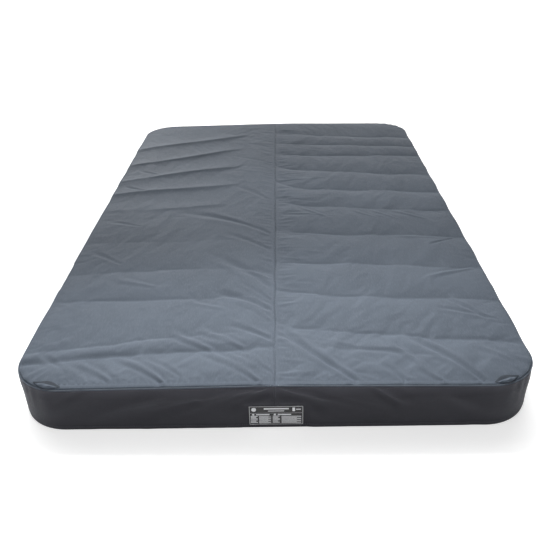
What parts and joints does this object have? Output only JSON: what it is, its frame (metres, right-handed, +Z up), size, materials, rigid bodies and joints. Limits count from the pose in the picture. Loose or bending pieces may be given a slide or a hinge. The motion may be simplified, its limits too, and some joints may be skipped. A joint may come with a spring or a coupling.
{
  "type": "spa cover",
  "caption": "Flat bifold swim spa cover with foam plank cores, a hanging skirt, lifting handles and lockable tie-down clips.",
  "frame": {"origin": "on the floor under the middle of the centre seam", "axes": "+Y along the centre seam, +X across to the right half, +Z up"},
  "size_m": [2.3106, 3.7608, 0.236],
  "materials": {
    "top_fabric": "soft sheen woven polyester",
    "skirt_fabric": "coated woven polyester",
    "welt": "coated fabric, satin",
    "foam": "expanded polystyrene",
    "film": "polyethylene film, satin",
    "channel_metal": "mill finish",
    "liner_fabric": "scrim-backed liner, satin",
    "zip_tape": "woven zip tape",
    "zip_metal": "satin",
    "webbing": "woven webbing",
    "clip_plastic": "moulded acetal",
    "label_face": "printed vinyl, satin",
    "seal_foam": "fabric-covered foam strip"
  },
  "bodies": {
    "left_half": {"left_top_panel": "top_fabric", "left_side_band": "skirt_fabric", "left_piping": "welt", "left_vapour_barrier": "film", "left_channel": "channel_metal", "left_liner": "liner_fabric", "left_zip": "zip_tape", "left_sewn_patches": "webbing", "left_plank_01": "foam", "left_plank_02": "foam", "left_plank_03": "foam", "left_plank_04": "foam", "left_plank_05": "foam", "left_plank_06": "foam", "left_plank_07": "foam", "left_plank_08": "foam", "left_plank_09": "foam", "left_plank_10": "foam", "hinge_seal": "seal_foam", "label": "label_face"},
    "right_half": {"right_top_panel": "top_fabric", "right_side_band": "skirt_fabric", "right_piping": "welt", "right_vapour_barrier": "film", "right_channel": "channel_metal", "right_liner": "liner_fabric", "right_zip": "zip_tape", "right_sewn_patches": "webbing", "right_plank_01": "foam", "right_plank_02": "foam", "right_plank_03": "foam", "right_plank_04": "foam", "right_plank_05": "foam", "right_plank_06": "foam", "right_plank_07": "foam", "right_plank_08": "foam", "right_plank_09": "foam", "right_plank_10": "foam"},
    "left_zip_slider": {"left_zip_slider": "zip_metal"},
    "left_zip_pull": {"left_zip_pull": "zip_metal"},
    "right_zip_slider": {"right_zip_slider": "zip_metal"},
    "right_zip_pull": {"right_zip_pull": "zip_metal"},
    "strap_1": {"strap_1": "webbing", "buckle_1": "clip_plastic"},
    "lock_base_1": {"lock_base_1": "clip_plastic"},
    "handle_1": {"handle_1": "webbing"},
    "strap_2": {"strap_2": "webbing", "buckle_2": "clip_plastic"},
    "lock_base_2": {"lock_base_2": "clip_plastic"},
    "handle_2": {"handle_2": "webbing"},
    "strap_3": {"strap_3": "webbing", "buckle_3": "clip_plastic"},
    "lock_base_3": {"lock_base_3": "clip_plastic"},
    "handle_3": {"handle_3": "webbing"},
    "strap_4": {"strap_4": "webbing", "buckle_4": "clip_plastic"},
    "lock_base_4": {"lock_base_4": "clip_plastic"},
    "handle_4": {"handle_4": "webbing"}
  },
  "joints": [
    {"name": "centre_fold", "type": "hinge", "parent": "left_half", "child": "right_half", "pos_m": [0, 0, 0.248], "axis": [0, -1, 0], "range_deg": [0, 180]},
    {"name": "left_zip_slide", "type": "slide", "parent": "left_half", "child": "left_zip_slider", "axis": [0, 1, 0], "range_m": [-3.28, 0]},
    {"name": "left_zip_pull_swing", "type": "hinge", "parent": "left_zip_slider", "child": "left_zip_pull", "pos_m": [-0.06, 1.65, 0.106], "axis": [1, 0, 0], "range_deg": [-80, 80]},
    {"name": "right_zip_slide", "type": "slide", "parent": "right_half", "child": "right_zip_slider", "axis": [0, 1, 0], "range_m": [-3.28, 0]},
    {"name": "right_zip_pull_swing", "type": "hinge", "parent": "right_zip_slider", "child": "right_zip_pull", "pos_m": [0.06, 1.65, 0.106], "axis": [1, 0, 0], "range_deg": [-80, 80]},
    {"name": "handle_1_swing", "type": "hinge", "parent": "left_half", "child": "handle_1", "pos_m": [-1.1525, -0.9, 0.178], "axis": [0, 1, 0], "range_deg": [0, 110]},
    {"name": "strap_1_drop", "type": "hinge", "parent": "left_half", "child": "strap_1", "pos_m": [-1.1444, -1.15, 0.0012], "axis": [0, 1, 0], "range_deg": [0, 90]},
    {"name": "lock_base_1_release", "type": "slide", "parent": "strap_1", "child": "lock_base_1", "axis": [1, 0, 0], "range_m": [0, 0.04]},
    {"name": "handle_2_swing", "type": "hinge", "parent": "right_half", "child": "handle_2", "pos_m": [1.1525, -0.9, 0.178], "axis": [0, -1, 0], "range_deg": [0, 110]},
    {"name": "strap_2_drop", "type": "hinge", "parent": "right_half", "child": "strap_2", "pos_m": [1.1444, -1.15, 0.0012], "axis": [0, -1, 0], "range_deg": [0, 90]},
    {"name": "lock_base_2_release", "type": "slide", "parent": "strap_2", "child": "lock_base_2", "axis": [-1, 0, 0], "range_m": [0, 0.04]},
    {"name": "handle_3_swing", "type": "hinge", "parent": "left_half", "child": "handle_3", "pos_m": [-1.1525, 0.9, 0.178], "axis": [0, 1, 0], "range_deg": [0, 110]},
    {"name": "strap_3_drop", "type": "hinge", "parent": "left_half", "child": "strap_3", "pos_m": [-1.1444, 1.15, 0.0012], "axis": [0, 1, 0], "range_deg": [0, 90]},
    {"name": "lock_base_3_release", "type": "slide", "parent": "strap_3", "child": "lock_base_3", "axis": [1, 0, 0], "range_m": [0, 0.04]},
    {"name": "handle_4_swing", "type": "hinge", "parent": "right_half", "child": "handle_4", "pos_m": [1.1525, 0.9, 0.178], "axis": [0, -1, 0], "range_deg": [0, 110]},
    {"name": "strap_4_drop", "type": "hinge", "parent": "right_half", "child": "strap_4", "pos_m": [1.1444, 1.15, 0.0012], "axis": [0, -1, 0], "range_deg": [0, 90]},
    {"name": "lock_base_4_release", "type": "slide", "parent": "strap_4", "child": "lock_base_4", "axis": [-1, 0, 0], "range_m": [0, 0.04]}
  ]
}
